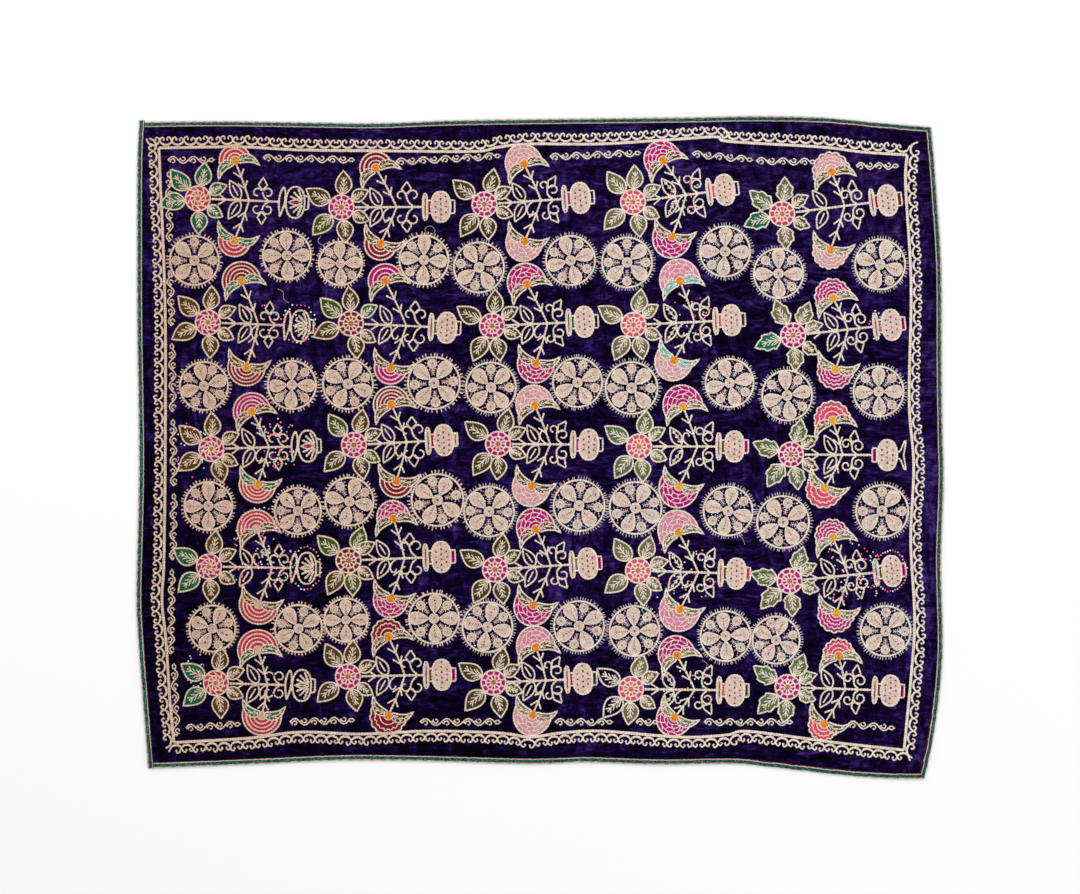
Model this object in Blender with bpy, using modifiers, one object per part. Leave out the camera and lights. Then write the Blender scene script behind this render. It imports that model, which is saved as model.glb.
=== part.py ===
"""Embroidered velvet panel, lying flat: the velvet ground and the four lengths of edge tape.

The cloth lies on the XY plane with its face up, its long side along X and its top edge towards +Y.
The origin is under the middle of the panel, on the surface that it rests on. Metres throughout,
apart from the tables, whose columns are in millimetres and degrees as their names say.
"""
import math

import bmesh
import bpy
from mathutils import Vector

MM = 0.001

# Driving dimensions
VELVET_THICK = 0.0020      # velvet with its embroidery stitched through it
TAPE_WIDE = 0.0120         # woven edge tape
TAPE_THICK = 0.0010
TAPE_CROWN = 0.0003        # the tape is a little fuller along its middle
TAPE_OVERHANG = 0.0008     # the tape just covers the velvet's cut edge
GAP = 0.0003               # between pieces that are sewn together
LEFT_TAPE_TAIL = 0.0030    # the left tape's end stands past the top edge
RUN_ON = 0.030             # tape blank past a corner, trimmed there

# Grid of the velvet: about 38 mm a cell
CELLS_LONG = 44
CELLS_WIDE = 36
TAPE_CELLS = {"top": 60, "bottom": 60, "left": 50, "right": 50}

# Folds fade out before the taped edge, which lies flat
FLAT_EDGE = 0.018
FADE_TO_FULL = 0.085

# Outer corners of the taped edge, millimetres from the middle of the panel
CORNER_MM = {
    "top_left": (-842, 683.5),
    "top_right": (821, 672.5),
    "bottom_left": (-823, -673.5),
    "bottom_right": (806, -695.5),
}

# Each side runs from its first corner to its second
SIDE_ENDS = {
    "top": ("top_left", "top_right"),
    "bottom": ("bottom_left", "bottom_right"),
    "left": ("bottom_left", "top_left"),
    "right": ("bottom_right", "top_right"),
}

# How far each side bows out from the straight line between its corners
# share of the side's length, bow outwards in mm
BOW = {
    "top": (
        (0.00, 0), (0.10, 3), (0.20, 2), (0.30, 1), (0.40, 8), (0.51, 12), (0.61, 15),
        (0.71, 18), (0.78, 21), (0.86, 19), (0.91, 12), (0.96, 5), (1.00, 0),
    ),
    "bottom": (
        (0.00, 0), (0.04, -3), (0.14, -12), (0.25, -22), (0.35, -23), (0.50, -20), (0.56, -25),
        (0.66, -22), (0.76, -26), (0.81, -19), (0.87, -9), (0.92, -2), (0.97, 1), (1.00, 0),
    ),
    "left": (
        (0.00, 0), (0.07, 6), (0.14, 12), (0.20, 17), (0.26, 20), (0.38, 14), (0.48, 10),
        (0.69, 10), (0.82, 8), (0.94, 5), (1.00, 0),
    ),
    "right": (
        (0.00, 0), (0.03, 10), (0.09, 24), (0.15, 33), (0.21, 37), (0.27, 34), (0.34, 31),
        (0.46, 35), (0.52, 32), (0.64, 28), (0.76, 26), (0.83, 21), (0.89, 14), (0.95, 7), (1.00, 0),
    ),
}

# Soft folds that lift the cloth off the surface, millimetres and degrees from +X
# name, x, y, turned, length, width, height
FOLDS = (
    ("old crease down", 118, 20, 91, 1180, 80, 3.5),
    ("old crease across", -40, 60, -1, 1460, 80, 3.0),
    ("pull under the top row", -430, 560, -3, 460, 90, 4.5),
    ("pull right of it", -60, 548, 4, 360, 85, 3.5),
    ("pull between the first wheels", -250, 322, -8, 420, 95, 5.0),
    ("pull at the left", -640, 300, 12, 260, 85, 3.5),
    ("tuck at the top edge", 384, 560, 84, 260, 80, 5.0),
    ("small tuck beside it", -98, 590, 76, 180, 75, 3.5),
    ("ripple on the right", 560, 250, 68, 300, 90, 4.0),
    ("ripple low on the right", 590, -400, 82, 340, 95, 5.5),
    ("ripple beside it", 300, -250, -28, 300, 90, 4.0),
    ("pull low in the middle", -60, -420, 8, 380, 90, 4.0),
    ("tuck at the bottom edge", 420, -560, 98, 200, 80, 4.5),
    ("ripple low on the left", -560, -470, -12, 320, 90, 4.5),
    ("ripple on the left", -520, -150, 20, 300, 85, 3.5),
    ("ripple by the right edge", 770, -120, 88, 420, 80, 4.0),
)


def smooth(share):
    """Ease from 0 to 1."""
    share = min(1.0, max(0.0, share))
    return share * share * (3.0 - 2.0 * share)


def bow_at(side, share):
    """Outward bow of a side in metres: a smooth curve through its stations."""
    rows = BOW[side]
    last = len(rows) - 1
    k = 0
    while k < last - 1 and share > rows[k + 1][0]:
        k += 1
    before, start, end, after = rows[max(k - 1, 0)], rows[k], rows[k + 1], rows[min(k + 2, last)]
    span = end[0] - start[0]
    slope_in = (end[1] - before[1]) / (end[0] - before[0]) * span
    slope_out = (after[1] - start[1]) / (after[0] - start[0]) * span
    t = (share - start[0]) / span
    value = (
        (2 * t**3 - 3 * t**2 + 1) * start[1] + (t**3 - 2 * t**2 + t) * slope_in
        + (3 * t**2 - 2 * t**3) * end[1] + (t**3 - t**2) * slope_out
    )
    return value * MM


def side_frame(side):
    """First corner, chord and outward direction of a side."""
    first, second = (Vector(CORNER_MM[name]) * MM for name in SIDE_ENDS[side])
    chord = second - first
    along = chord.normalized()
    outward = Vector((along.y, -along.x))
    if outward.dot(first + chord / 2) < 0:
        outward = -outward
    return first, chord, outward


def side_point(side, share):
    """Point on the outer edge; past a corner it runs straight on."""
    first, chord, outward = side_frame(side)
    inside = min(1.0, max(0.0, share))
    point = first + chord * inside + outward * bow_at(side, inside)
    if share != inside:
        step = 0.01 if inside == 0.0 else -0.01
        near = first + chord * (inside + step) + outward * bow_at(side, inside + step)
        point += (near - point) / step * (share - inside)
    return point


def side_inward(side, share):
    """Unit vector into the cloth, square to the edge."""
    step = 0.004
    along = side_point(side, share + step) - side_point(side, share - step)
    inward = Vector((along.y, -along.x)).normalized()
    return inward if inward.dot(side_frame(side)[2]) < 0 else -inward


def velvet_corner(name, sides):
    """Corner of the velvet, a little inside the corner of the taped edge."""
    point = Vector(CORNER_MM[name]) * MM
    for side in sides:
        point -= side_frame(side)[2] * TAPE_OVERHANG
    return point


def velvet_edge(side, share):
    return side_point(side, share) + side_inward(side, share) * TAPE_OVERHANG


def velvet_point(u, v):
    """Point of the cloth at shares u along X and v along Y, between its four bowed edges."""
    bottom, top = velvet_edge("bottom", u), velvet_edge("top", u)
    left, right = velvet_edge("left", v), velvet_edge("right", v)
    bl = velvet_corner("bottom_left", ("bottom", "left"))
    br = velvet_corner("bottom_right", ("bottom", "right"))
    tl = velvet_corner("top_left", ("top", "left"))
    tr = velvet_corner("top_right", ("top", "right"))
    if u in (0.0, 1.0) and v in (0.0, 1.0):
        return {(0, 0): bl, (1, 0): br, (0, 1): tl, (1, 1): tr}[(round(u), round(v))]
    if u == 0.0:
        return left
    if u == 1.0:
        return right
    if v == 0.0:
        return bottom
    if v == 1.0:
        return top
    across = left * (1 - u) + right * u
    down = bottom * (1 - v) + top * v
    corners = bl * (1 - u) * (1 - v) + br * u * (1 - v) + tl * (1 - u) * v + tr * u * v
    return across + down - corners


def edge_distance(u, v):
    """Rough distance in metres from the nearest edge."""
    width = (CORNER_MM["top_right"][0] - CORNER_MM["top_left"][0]) * MM
    height = (CORNER_MM["top_left"][1] - CORNER_MM["bottom_left"][1]) * MM
    return min(u * width, (1 - u) * width, v * height, (1 - v) * height)


def lift(x, y):
    """How far the folds lift the cloth at a place."""
    total = 0.0
    for _name, fold_x, fold_y, turned, length, width, height in FOLDS:
        angle = math.radians(turned)
        dx, dy = x - fold_x * MM, y - fold_y * MM
        along = (dx * math.cos(angle) + dy * math.sin(angle)) / (length * MM / 2)
        across = (dy * math.cos(angle) - dx * math.sin(angle)) / (width * MM / 2)
        reach = along * along + across * across
        if reach < 1.0:
            total = max(total, height * MM * (1.0 - reach) ** 2 * (1.0 + reach))
    return total


def finish(name, color, roughness):
    material = bpy.data.materials.new(name)
    material.use_nodes = True
    shader = material.node_tree.nodes["Principled BSDF"]
    shader.inputs["Base Color"].default_value = (*color, 1.0)
    shader.inputs["Roughness"].default_value = roughness
    shader.inputs["Metallic"].default_value = 0.0
    return material


def grid_object(name, columns, rows, material, collection):
    """A flat grid of columns by rows cells, whose points are then moved to their places."""
    bpy.ops.mesh.primitive_grid_add(x_subdivisions=columns, y_subdivisions=rows, size=1.0)
    piece = bpy.context.object
    piece.name = name
    piece.data.name = name
    piece.data.materials.append(material)
    for holder in list(piece.users_collection):
        holder.objects.unlink(piece)
    collection.objects.link(piece)
    return piece


def thicken(piece, thick):
    """Give the sheet its thickness upwards from its underside."""
    solid = piece.modifiers.new("Thickness", "SOLIDIFY")
    solid.thickness = thick
    solid.offset = 1.0
    solid.use_even_offset = False


def velvet_ground(collection, material):
    piece = grid_object("velvet_ground", CELLS_LONG, CELLS_WIDE, material, collection)
    for vertex in piece.data.vertices:
        u = round((vertex.co.x + 0.5) * CELLS_LONG) / CELLS_LONG
        v = round((vertex.co.y + 0.5) * CELLS_WIDE) / CELLS_WIDE
        place = velvet_point(u, v)
        fade = smooth((edge_distance(u, v) - FLAT_EDGE) / (FADE_TO_FULL - FLAT_EDGE))
        vertex.co = (place.x, place.y, lift(place.x, place.y) * fade)
    thicken(piece, VELVET_THICK)
    return piece


def trim(mesh, point, away):
    """Cut a closed mesh at an upright plane and cap it; what lies towards away is dropped."""
    work = bmesh.new()
    work.from_mesh(mesh)
    cut = bmesh.ops.bisect_plane(
        work, geom=work.verts[:] + work.edges[:] + work.faces[:], dist=1e-7,
        plane_co=(point.x, point.y, 0.0), plane_no=(away.x, away.y, 0.0), clear_outer=True,
    )
    rim = [item for item in cut["geom_cut"] if isinstance(item, bmesh.types.BMEdge)]
    bmesh.ops.contextual_create(work, geom=rim)
    bmesh.ops.recalc_face_normals(work, faces=work.faces[:])
    work.to_mesh(mesh)
    work.free()


def corner_cut(side, other, name):
    """Where a mitred side ends: the line that halves the corner, half a gap back from it."""
    corner = Vector(CORNER_MM[name]) * MM
    at_end = 0.0 if SIDE_ENDS[side][0] == name else 1.0
    other_end = 0.0 if SIDE_ENDS[other][0] == name else 1.0
    halving = (side_inward(side, at_end) + side_inward(other, other_end)).normalized()
    away = Vector((halving.y, -halving.x))
    if away.dot(corner - side_point(side, 0.5)) < 0:
        away = -away
    return corner - away * GAP / 2, away


def butt_cut(side, against, name):
    """Where a side stops short of the tape that runs past it, a gap from that tape's inner edge."""
    at_end = 0.0 if SIDE_ENDS[against][0] == name else 1.0
    inward = side_inward(against, at_end)
    corner = Vector(CORNER_MM[name]) * MM
    return corner + inward * (TAPE_WIDE + GAP), -inward


def tape(side, cuts, collection, material):
    """A length of tape on the velvet's edge, trimmed at both ends."""
    piece = grid_object("tape_" + side, TAPE_CELLS[side], 2, material, collection)
    thicken(piece, TAPE_THICK)
    bpy.context.view_layer.objects.active = piece
    bpy.ops.object.modifier_apply(modifier="Thickness")
    run_on = RUN_ON / side_frame(side)[1].length
    seat = VELVET_THICK + GAP
    for vertex in piece.data.vertices:
        share = -run_on + (1.0 + 2.0 * run_on) * (vertex.co.x + 0.5)
        across = vertex.co.y + 0.5
        place = side_point(side, share) + side_inward(side, share) * TAPE_WIDE * across
        crown = TAPE_CROWN * 4.0 * across * (1.0 - across) if vertex.co.z > TAPE_THICK / 2 else 0.0
        vertex.co = (place.x, place.y, seat + vertex.co.z + crown)
    for point, away in cuts:
        trim(piece.data, point, away)
    return piece


def build():
    for item in list(bpy.data.objects):
        bpy.data.objects.remove(item, do_unlink=True)
    panel = bpy.data.collections.new("embroidered panel")
    bpy.context.scene.collection.children.link(panel)
    velvet = finish("indigo velvet", (0.020, 0.010, 0.085), 0.75)
    woven = finish("woven edge tape", (0.20, 0.38, 0.34), 0.70)

    velvet_ground(panel, velvet)

    left_first, left_chord, _outward = side_frame("left")
    left_up = left_chord.normalized()
    left_ends = (
        (Vector(CORNER_MM["top_left"]) * MM + left_up * LEFT_TAPE_TAIL, left_up),
        (left_first, -left_up),
    )
    tape("left", left_ends, panel, woven)
    tape("top", (butt_cut("top", "left", "top_left"), corner_cut("top", "right", "top_right")), panel, woven)
    tape(
        "bottom", (butt_cut("bottom", "left", "bottom_left"), corner_cut("bottom", "right", "bottom_right")),
        panel, woven,
    )
    tape(
        "right", (corner_cut("right", "top", "top_right"), corner_cut("right", "bottom", "bottom_right")),
        panel, woven,
    )


build()
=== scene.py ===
"""Looks of the embroidered velvet panel: crushed velvet, woven edge tape and chain-stitch embroidery.

The panel lies face up on a pale floor and the camera looks straight down on it. Metres throughout.
Places in the design are named by the photograph's pixels and turned into metres by on_cloth().
Plane shapes are complex numbers: the real part runs along +X and the imaginary part along +Y.
"""
import math

import bmesh
import bpy
import numpy as np
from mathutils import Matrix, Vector
from mathutils.bvhtree import BVHTree


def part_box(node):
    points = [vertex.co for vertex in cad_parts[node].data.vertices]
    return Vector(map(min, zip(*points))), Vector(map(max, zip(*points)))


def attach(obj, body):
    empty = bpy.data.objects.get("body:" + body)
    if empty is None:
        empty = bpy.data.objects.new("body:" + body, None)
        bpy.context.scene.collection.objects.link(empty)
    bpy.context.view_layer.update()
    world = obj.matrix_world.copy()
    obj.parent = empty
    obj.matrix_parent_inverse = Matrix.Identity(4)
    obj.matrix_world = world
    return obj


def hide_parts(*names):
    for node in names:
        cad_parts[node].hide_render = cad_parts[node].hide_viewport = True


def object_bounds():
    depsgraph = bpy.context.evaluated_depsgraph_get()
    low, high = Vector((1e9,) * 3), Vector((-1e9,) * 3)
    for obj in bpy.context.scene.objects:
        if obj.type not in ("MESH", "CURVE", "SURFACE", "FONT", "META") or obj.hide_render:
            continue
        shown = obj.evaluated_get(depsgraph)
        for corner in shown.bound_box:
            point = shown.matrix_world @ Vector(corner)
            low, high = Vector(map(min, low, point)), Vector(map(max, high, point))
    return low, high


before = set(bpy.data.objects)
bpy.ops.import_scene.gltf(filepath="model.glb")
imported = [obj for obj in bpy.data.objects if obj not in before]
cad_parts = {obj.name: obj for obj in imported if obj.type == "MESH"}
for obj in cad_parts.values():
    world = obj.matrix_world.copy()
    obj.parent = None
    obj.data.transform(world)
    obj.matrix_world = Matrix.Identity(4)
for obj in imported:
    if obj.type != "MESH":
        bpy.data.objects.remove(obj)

CAD_BOX = [list(corner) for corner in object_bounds()]

# Camera, floor and light
# A long lens straight above the middle of the panel, a white floor and soft light from all round,
# stronger from the top edge, as in a studio copy stand.
PIXEL = 0.0021                       # metres of cloth for each pixel of the photograph
PHOTO_WIDE, PHOTO_HIGH = 1080, 894
PANEL_MIDDLE_X, PANEL_MIDDLE_Y = 540, 447.5
CAMERA_HIGH = 7.0
SENSOR = 36.0
FLOOR_SIZE = 14.0
FLOOR_DROP = 0.0004                  # how far the floor lies below the panel, so that they don't touch
ROOM_STRENGTH = 0.75

camera_data = bpy.data.cameras.new("camera")
camera_data.sensor_width = SENSOR
camera_data.lens = SENSOR * CAMERA_HIGH / (PHOTO_WIDE * PIXEL)
camera = bpy.data.objects.new("camera", camera_data)
camera.location = (
    (PHOTO_WIDE / 2 - PANEL_MIDDLE_X) * PIXEL, (PANEL_MIDDLE_Y - PHOTO_HIGH / 2) * PIXEL, CAMERA_HIGH,
)
bpy.context.scene.collection.objects.link(camera)
bpy.context.scene.camera = camera
bpy.context.scene.view_settings.view_transform = "Standard"


def new_material(name, color, roughness, **constants):
    """A Principled material; constants are sockets that are the same all over."""
    made = bpy.data.materials.new(name)
    made.use_nodes = True
    shader = made.node_tree.nodes["Principled BSDF"]
    shader.inputs["Base Color"].default_value = (*color, 1.0)
    shader.inputs["Roughness"].default_value = roughness
    for socket, value in constants.items():
        shader.inputs[socket.replace("_", " ")].default_value = value
    return made


bpy.ops.object.select_all(action="DESELECT")
bpy.ops.mesh.primitive_plane_add(size=FLOOR_SIZE, location=(0, 0, -FLOOR_DROP))
floor = bpy.context.object
floor.name = "floor"
floor.data.materials.append(new_material("white floor", (0.93, 0.93, 0.93), 0.9))

world = bpy.data.worlds.new("soft room")
world.use_nodes = True
world.node_tree.nodes["Background"].inputs["Color"].default_value = (1.0, 1.0, 1.0, 1.0)
world.node_tree.nodes["Background"].inputs["Strength"].default_value = ROOM_STRENGTH
bpy.context.scene.world = world

# name, place, size, watts
LAMPS = (
    ("key_lamp", (-1.6, 3.4, 3.6), 2.6, 95),
    ("fill_lamp", (3.0, -1.4, 3.6), 3.0, 40),
)
for name, place, size, watts in LAMPS:
    lamp = bpy.data.objects.new(name, bpy.data.lights.new(name, "AREA"))
    lamp.data.energy = watts
    lamp.data.size = size
    lamp.location = place
    lamp.rotation_euler = (-Vector(place)).to_track_quat("-Z", "Y").to_euler()
    bpy.context.scene.collection.objects.link(lamp)

# Velvet ground
# One length of deep indigo crushed velvet. It keeps the outline and folds of its solid, with finer
# pressed-in creases between them, and the nap shows lighter and darker in short streaks.

# x and y in photograph pixels, turned in degrees, length and width in mm, height in mm
CREASES = (
    (300, 178, -4, 260, 26, 1.1), (352, 172, 3, 190, 24, 0.9), (430, 182, 2, 250, 28, 1.1),
    (396, 232, -6, 170, 24, 0.8), (470, 236, 4, 150, 26, 0.8), (250, 244, 8, 160, 24, 0.8),
    (300, 296, -38, 120, 22, 0.9), (322, 302, -30, 110, 22, 0.8), (455, 296, -10, 190, 26, 1.0),
    (410, 300, 6, 170, 26, 0.9), (520, 300, 74, 120, 24, 0.6), (596, 300, 90, 210, 24, 0.8),
    (596, 470, 90, 260, 24, 0.8), (596, 640, 88, 240, 24, 0.7), (300, 418, 1, 320, 24, 0.7),
    (640, 419, -1, 340, 24, 0.7), (700, 176, 12, 150, 26, 0.9), (758, 232, 60, 140, 24, 0.8),
    (620, 232, -20, 130, 24, 0.7), (640, 296, 14, 150, 26, 0.8), (828, 300, 70, 150, 26, 0.8),
    (905, 420, 84, 230, 24, 0.8), (925, 330, 88, 280, 26, 0.9), (927, 560, 92, 320, 26, 0.9),
    (926, 690, 86, 170, 26, 0.8), (816, 655, 82, 190, 30, 1.1), (836, 640, 76, 140, 26, 0.8),
    (752, 560, 70, 150, 28, 0.9), (745, 600, -14, 130, 26, 0.8), (690, 560, 24, 150, 26, 0.8),
    (596, 556, 16, 130, 24, 0.7), (540, 556, -12, 150, 26, 0.7), (470, 648, 10, 170, 26, 0.8),
    (330, 650, -12, 170, 26, 0.8), (250, 655, 14, 120, 24, 0.7), (300, 756, 3, 330, 24, 0.8),
    (450, 750, -3, 300, 24, 0.7), (640, 752, 4, 300, 24, 0.8), (740, 752, 24, 120, 26, 0.9),
    (860, 762, -6, 200, 24, 0.7), (148, 420, 90, 420, 22, 0.6), (150, 640, 88, 300, 22, 0.6),
    (300, 132, 2, 420, 22, 0.6), (520, 130, -2, 380, 22, 0.6), (800, 130, 6, 260, 24, 0.7),
)


def on_cloth(x, y):
    """The place of a photograph pixel on the cloth."""
    return complex((x - PANEL_MIDDLE_X) * PIXEL, (PANEL_MIDDLE_Y - y) * PIXEL)


def crease_height(place):
    """How far the fine creases stand up at places on the cloth, given as complex numbers."""
    height = np.zeros(len(place))
    for x, y, turned, length, width, tall in CREASES:
        away = (place - on_cloth(x, y)) * np.exp(-1j * math.radians(turned))
        reach = (away.real / (length / 2000)) ** 2 + (away.imag / (width / 2000)) ** 2
        height = np.maximum(height, tall / 1000 * np.clip(1 - reach, 0, 1) ** 2)
    return height


def apply_modifier(piece, kind, **settings):
    """Adds a modifier to the piece in hand and applies it."""
    modifier = piece.modifiers.new(kind, kind)
    for setting, value in settings.items():
        setattr(modifier, setting, value)
    bpy.ops.object.modifier_apply(modifier=kind)


def add_copy(node, name, levels):
    """A merged copy of a solid's mesh as its own object, its faces parted in four as often as levels says."""
    copy = bpy.data.objects.new(name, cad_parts[node].data.copy())
    bpy.context.scene.collection.objects.link(copy)
    bpy.ops.object.select_all(action="DESELECT")
    copy.select_set(True)
    bpy.context.view_layer.objects.active = copy
    bpy.ops.object.mode_set(mode="EDIT")
    bpy.ops.mesh.select_all(action="SELECT")
    bpy.ops.mesh.remove_doubles(threshold=0.00002)
    bpy.ops.mesh.tris_convert_to_quads(face_threshold=0.9, shape_threshold=0.9)
    bpy.ops.object.mode_set(mode="OBJECT")
    copy.data.materials.clear()
    apply_modifier(copy, "SUBSURF", subdivision_type="SIMPLE", levels=levels, render_levels=levels)
    return copy


def places_of(mesh):
    """A mesh's points as an array of rows."""
    flat = np.empty(len(mesh.vertices) * 3, np.float32)
    mesh.vertices.foreach_get("co", flat)
    return flat.reshape(-1, 3).astype(float)


velvet = add_copy("velvet_ground", "velvet", 2)
apply_modifier(velvet, "SMOOTH", factor=0.5, iterations=6, use_x=False, use_y=False)
points = places_of(velvet.data)
points[:, 2] += crease_height(points[:, 0] + 1j * points[:, 1])
velvet.data.vertices.foreach_set("co", points.astype(np.float32).ravel())
velvet.data.update()
velvet.data.shade_smooth()


def linear(red, green, blue):
    """A colour as seen, 0 to 255, in the shader's own scale."""
    return tuple((part / 255) ** 2.2 for part in (red, green, blue))


def add_node(tree, kind, inputs=(), **settings):
    """A shader node with its settings and inputs; an input is a value or another node's output."""
    node = tree.nodes.new("ShaderNode" + kind)
    for setting, value in settings.items():
        setattr(node, setting, value)
    for socket, value in inputs:
        if isinstance(value, bpy.types.NodeSocket):
            tree.links.new(value, node.inputs[socket])
        else:
            node.inputs[socket].default_value = value
    return node


def add_noise(tree, where, scale, detail=2.0, distortion=0.0, turned=0.0, stretch=(1.0, 1.0)):
    """Soft noise from 0 to 1; stretch gives how fine it is along and across the way it is turned."""
    lie = add_node(tree, "Mapping", (
        ("Vector", where), ("Rotation", (0, 0, turned)), ("Scale", (*stretch, 1.0)),
    ))
    return add_node(tree, "TexNoise", (
        ("Vector", lie.outputs[0]), ("Scale", scale), ("Detail", detail), ("Roughness", 0.6),
        ("Distortion", distortion),
    )).outputs["Fac"]


def spread(tree, value, low, high, new_low, new_high):
    """A value's range stretched to a new one."""
    return add_node(
        tree, "MapRange", ((0, value), (1, low), (2, high), (3, new_low), (4, new_high)),
    ).outputs[0]


def reckon(tree, operation, *values):
    """One step of arithmetic on sockets or numbers."""
    return add_node(tree, "Math", tuple(enumerate(values)), operation=operation).outputs[0]


def add_ramp(tree, factor, stops):
    """A colour ramp through stops of (place, colour)."""
    ramp = add_node(tree, "ValToRGB", ((0, factor),))
    while len(ramp.color_ramp.elements) < len(stops):
        ramp.color_ramp.elements.new(0.5)
    for element, (place, color) in zip(ramp.color_ramp.elements, stops):
        element.position = place
        element.color = (*color, 1.0)
    return ramp.outputs[0]


def inside(material):
    """A material's nodes and its Principled shader."""
    return material.node_tree, material.node_tree.nodes["Principled BSDF"]


velvet_finish = new_material(
    "indigo velvet", (0.02, 0.01, 0.08), 0.85, Sheen_Weight=0.04, Sheen_Roughness=0.4,
    Sheen_Tint=(0.5, 0.3, 0.9, 1.0), Specular_IOR_Level=0.03,
)
tree, shader = inside(velvet_finish)
where = add_node(tree, "TexCoord").outputs["Object"]
brushed_across = add_noise(tree, where, 6.5, 6.0, 1.3, turned=-0.3, stretch=(3.4, 10.0))
brushed_up = add_noise(tree, where, 5.5, 6.0, 0.9, turned=0.2, stretch=(10.0, 4.0))
patch_share = spread(tree, add_noise(tree, where, 3.1, 2.0, 0.8), 0.42, 0.62, 0.15, 0.75)
tone = add_node(tree, "Mix", ((0, patch_share), (2, brushed_across), (3, brushed_up))).outputs[0]
crushed = add_noise(tree, where, 10.0, 3.0, 1.6, turned=-0.5, stretch=(3.2, 10.0))
broad = add_noise(tree, where, 1.7, 3.0)
spot = add_node(tree, "SeparateXYZ", ((0, where),)).outputs
# What else lightens or darkens the nap: its source, that source's range, and how much it adds over that
# range.
# Down the cloth it is lighter towards the top and darker towards the bottom, partly its nap and partly
# painted light falling from the top edge. It is also darker towards the left and lighter along the right
# edge, and the broad and crushed noises are the nap's own uneven tone.
PAINTED_LIGHT_AND_NAP_TONES = (
    (spot["Y"], -0.7, 0.7, -0.05, 0.01), (spot["X"], -0.85, 0.3, -0.025, 0.0),
    (spot["X"], 0.76, 0.80, 0.0, 0.035), (broad, 0.3, 0.7, -0.05, 0.06), (crushed, 0.3, 0.7, -0.07, 0.07),
)
# adds the painted light, the edge tones and the nap's own tone to the streaks
for source, *ranges in PAINTED_LIGHT_AND_NAP_TONES:
    tone = reckon(tree, "ADD", tone, spread(tree, source, *ranges))
tree.links.new(add_ramp(tree, tone, (
    (0.36, linear(9, 1, 16)), (0.46, linear(19, 5, 38)), (0.53, linear(30, 15, 58)),
    (0.61, linear(48, 32, 86)), (0.75, linear(82, 64, 128)),
)), shader.inputs["Base Color"])
crush = add_node(tree, "Bump", (("Strength", 0.6), ("Distance", 0.005), ("Height", tone)))
pile = add_noise(tree, where, 900.0)
pile_bump = add_node(tree, "Bump", (
    ("Strength", 0.25), ("Distance", 0.0005), ("Height", pile), ("Normal", crush.outputs[0]),
))
tree.links.new(pile_bump.outputs[0], shader.inputs["Normal"])
velvet.data.materials.append(velvet_finish)
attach(velvet, "root")
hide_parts("velvet_ground")

# The face of the velvet as a grid of heights, so that what is sewn on follows its folds
HEIGHT_STEP = 0.008
FLAT_FACE = 0.002                    # the velvet's face where it lies flat
LOWEST_FACE = 0.0015
ABOVE = 0.1
JUST_INSIDE = 0.001                  # how far a place on the grid's last line is taken to lie within it
(low_x, low_y, _low), (high_x, high_y, _high) = CAD_BOX
across_cells = int((high_x - low_x) / HEIGHT_STEP) + 1
down_cells = int((high_y - low_y) / HEIGHT_STEP) + 1
face_tree = BVHTree.FromObject(velvet, bpy.context.evaluated_depsgraph_get())
face_heights = np.full((across_cells + 1, down_cells + 1), FLAT_FACE)
for i in range(across_cells + 1):
    for j in range(down_cells + 1):
        above = Vector((low_x + i * HEIGHT_STEP, low_y + j * HEIGHT_STEP, ABOVE))
        hit = face_tree.ray_cast(above, Vector((0, 0, -1)))[0]
        if hit is not None and hit.z > LOWEST_FACE:
            face_heights[i, j] = hit.z


def face_height(place):
    """Height of the velvet's face at places on the cloth."""
    x = np.clip((place.real - low_x) / HEIGHT_STEP, 0, across_cells - JUST_INSIDE)
    y = np.clip((place.imag - low_y) / HEIGHT_STEP, 0, down_cells - JUST_INSIDE)
    i, j = x.astype(int), y.astype(int)
    x, y = x - i, y - j
    return (
        face_heights[i, j] * (1 - x) * (1 - y) + face_heights[i + 1, j] * x * (1 - y)
        + face_heights[i, j + 1] * (1 - x) * y + face_heights[i + 1, j + 1] * x * y
    )


# Edge tape
# A narrow woven tape on the face along each edge: a mottled teal middle, a cream outer side with pink
# blocks, and a cream inner side sewn down with dark red. The left length runs past the others.
TAPE_WIDE = 0.012
TAPE_REPEAT = 0.022                  # how far apart the pink blocks are
BLOCK_FROM = 0.29                    # where a block starts, as a share of the repeat from its middle
RIB = 0.0011
MIDDLE_FROM, INNER_FROM, SEAM_FROM = 0.21, 0.77, 0.90   # stripes, as shares of the way across
EDGE_STATIONS = 140
OFF_TAPE = -9.0


def blend_colors(tree, share, first, second):
    """The first colour where share is 0 and the second where it is 1."""
    colors = ((6, first), (7, second))
    colors = [(k, c if isinstance(c, bpy.types.NodeSocket) else (*c, 1.0)) for k, c in colors]
    return add_node(tree, "Mix", ((0, share), *colors), data_type="RGBA").outputs[2]


tape_finish = new_material("woven tape", (0.2, 0.4, 0.35), 0.7, Sheen_Weight=0.1, Specular_IOR_Level=0.2)
tree, shader = inside(tape_finish)
tape_map = add_node(tree, "UVMap", uv_map="along").outputs[0]
split = add_node(tree, "SeparateXYZ", ((0, tape_map),))
along = split.outputs["X"]
woven = (1.0, TAPE_WIDE)
ragged = spread(tree, add_noise(tree, tape_map, 170.0, stretch=woven), 0.3, 0.7, -0.05, 0.05)
side = reckon(tree, "ADD", split.outputs["Y"], ragged)
repeat = reckon(tree, "FRACT", reckon(tree, "DIVIDE", along, TAPE_REPEAT))
from_middle = reckon(tree, "ABSOLUTE", reckon(tree, "SUBTRACT", repeat, 0.5))
block = reckon(tree, "GREATER_THAN", from_middle, BLOCK_FROM)
color = blend_colors(tree, block, linear(226, 210, 202), linear(228, 146, 146))
middle = add_ramp(tree, add_noise(tree, tape_map, 260.0, 2.0, 0.6, stretch=woven), (
    (0.38, linear(52, 146, 120)), (0.46, linear(12, 98, 82)), (0.53, linear(8, 76, 68)),
    (0.575, linear(14, 28, 40)),
))
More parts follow.
